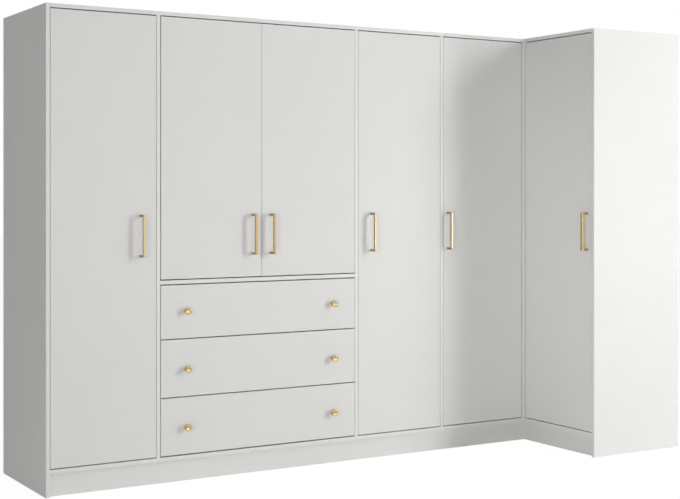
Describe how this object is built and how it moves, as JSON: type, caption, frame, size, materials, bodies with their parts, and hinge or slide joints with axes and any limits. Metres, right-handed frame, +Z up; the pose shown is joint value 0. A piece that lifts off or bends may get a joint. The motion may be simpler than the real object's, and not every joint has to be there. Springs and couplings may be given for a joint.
{
  "type": "corner wardrobe",
  "caption": "L-shaped corner wardrobe in white board with flush hinged doors, drawers under a pair of doors, brass bar handles and knobs, hanging rails, shelves and a hat shelf inside.",
  "frame": {"origin": "on the floor, at the centre of the footprint's bounding box", "axes": "+Z up; the long run faces -Y with its back to the wall at +Y; the short return stands at the +X end, against the wall at +X, and faces -X"},
  "size_m": [2.72, 0.952, 1.8],
  "materials": {
    "white_board": "white melamine-faced chipboard, satin",
    "drawer_board": "white melamine-faced chipboard, satin, as drawer sides and bottom",
    "back_board": "white-lacquered thin hardboard, matt",
    "brass": "brushed brass, satin lacquer",
    "nickel": "nickel-plated steel",
    "chrome": "chrome-plated steel tube"
  },
  "bodies": {
    "carcass": {"left_side_panel": "white_board", "end_panel": "white_board", "left_divider": "white_board", "middle_divider": "white_board", "right_divider": "white_board", "main_top": "white_board", "return_top": "white_board", "main_bottom": "white_board", "return_bottom": "white_board", "drawer_shelf": "white_board", "corner_post": "white_board", "main_plinth": "white_board", "return_plinth": "white_board", "main_rear_plinth": "white_board", "return_rear_plinth": "white_board", "left_back": "back_board", "right_back": "back_board", "return_back": "back_board", "right_lower_shelf": "white_board", "right_upper_shelf": "white_board", "corner_hat_shelf": "white_board", "left_rail": "chrome", "middle_rail": "chrome", "corner_rail": "chrome", "door_1_lower_hinge": "nickel", "door_1_upper_hinge": "nickel", "door_2_lower_hinge": "nickel", "door_2_upper_hinge": "nickel", "door_3_lower_hinge": "nickel", "door_3_upper_hinge": "nickel", "door_4_lower_hinge": "nickel", "door_4_upper_hinge": "nickel", "door_5_lower_hinge": "nickel", "door_5_upper_hinge": "nickel", "door_6_lower_hinge": "nickel", "door_6_upper_hinge": "nickel"},
    "door_1_leaf": {"door_1": "white_board", "door_1_handle": "brass"},
    "door_2_leaf": {"door_2": "white_board", "door_2_handle": "brass"},
    "door_3_leaf": {"door_3": "white_board", "door_3_handle": "brass"},
    "door_4_leaf": {"door_4": "white_board", "door_4_handle": "brass"},
    "door_5_leaf": {"door_5": "white_board", "door_5_handle": "brass"},
    "door_6_leaf": {"door_6": "white_board", "door_6_handle": "brass"},
    "top_drawer": {"drawer_1_front": "white_board", "drawer_1_box": "drawer_board", "drawer_1_left_knob": "brass", "drawer_1_right_knob": "brass"},
    "middle_drawer": {"drawer_2_front": "white_board", "drawer_2_box": "drawer_board", "drawer_2_left_knob": "brass", "drawer_2_right_knob": "brass"},
    "bottom_drawer": {"drawer_3_front": "white_board", "drawer_3_box": "drawer_board", "drawer_3_left_knob": "brass", "drawer_3_right_knob": "brass"}
  },
  "joints": [
    {"name": "door_1_swing", "type": "hinge", "parent": "carcass", "child": "door_1_leaf", "pos_m": [-1.3435, -0.024, 0.943], "axis": [0, 0, 1], "range_deg": [-100, 0]},
    {"name": "door_2_swing", "type": "hinge", "parent": "carcass", "child": "door_2_leaf", "pos_m": [-0.9065, -0.024, 1.28], "axis": [0, 0, 1], "range_deg": [-100, 0]},
    {"name": "door_3_swing", "type": "hinge", "parent": "carcass", "child": "door_3_leaf", "pos_m": [-0.0305, -0.024, 1.28], "axis": [0, 0, 1], "range_deg": [0, 100]},
    {"name": "door_4_swing", "type": "hinge", "parent": "carcass", "child": "door_4_leaf", "pos_m": [0.4065, -0.024, 0.943], "axis": [0, 0, 1], "range_deg": [0, 100]},
    {"name": "door_5_swing", "type": "hinge", "parent": "carcass", "child": "door_5_leaf", "pos_m": [0.8595, -0.024, 0.943], "axis": [0, 0, 1], "range_deg": [0, 81]},
    {"name": "door_6_swing", "type": "hinge", "parent": "carcass", "child": "door_6_leaf", "pos_m": [0.87, -0.0345, 0.943], "axis": [0, 0, 1], "range_deg": [-85, 0]},
    {"name": "top_drawer_slide", "type": "slide", "parent": "carcass", "child": "top_drawer", "axis": [0, -1, 0], "range_m": [0, 0.35]},
    {"name": "middle_drawer_slide", "type": "slide", "parent": "carcass", "child": "middle_drawer", "axis": [0, -1, 0], "range_m": [0, 0.35]},
    {"name": "bottom_drawer_slide", "type": "slide", "parent": "carcass", "child": "bottom_drawer", "axis": [0, -1, 0], "range_m": [0, 0.35]}
  ]
}
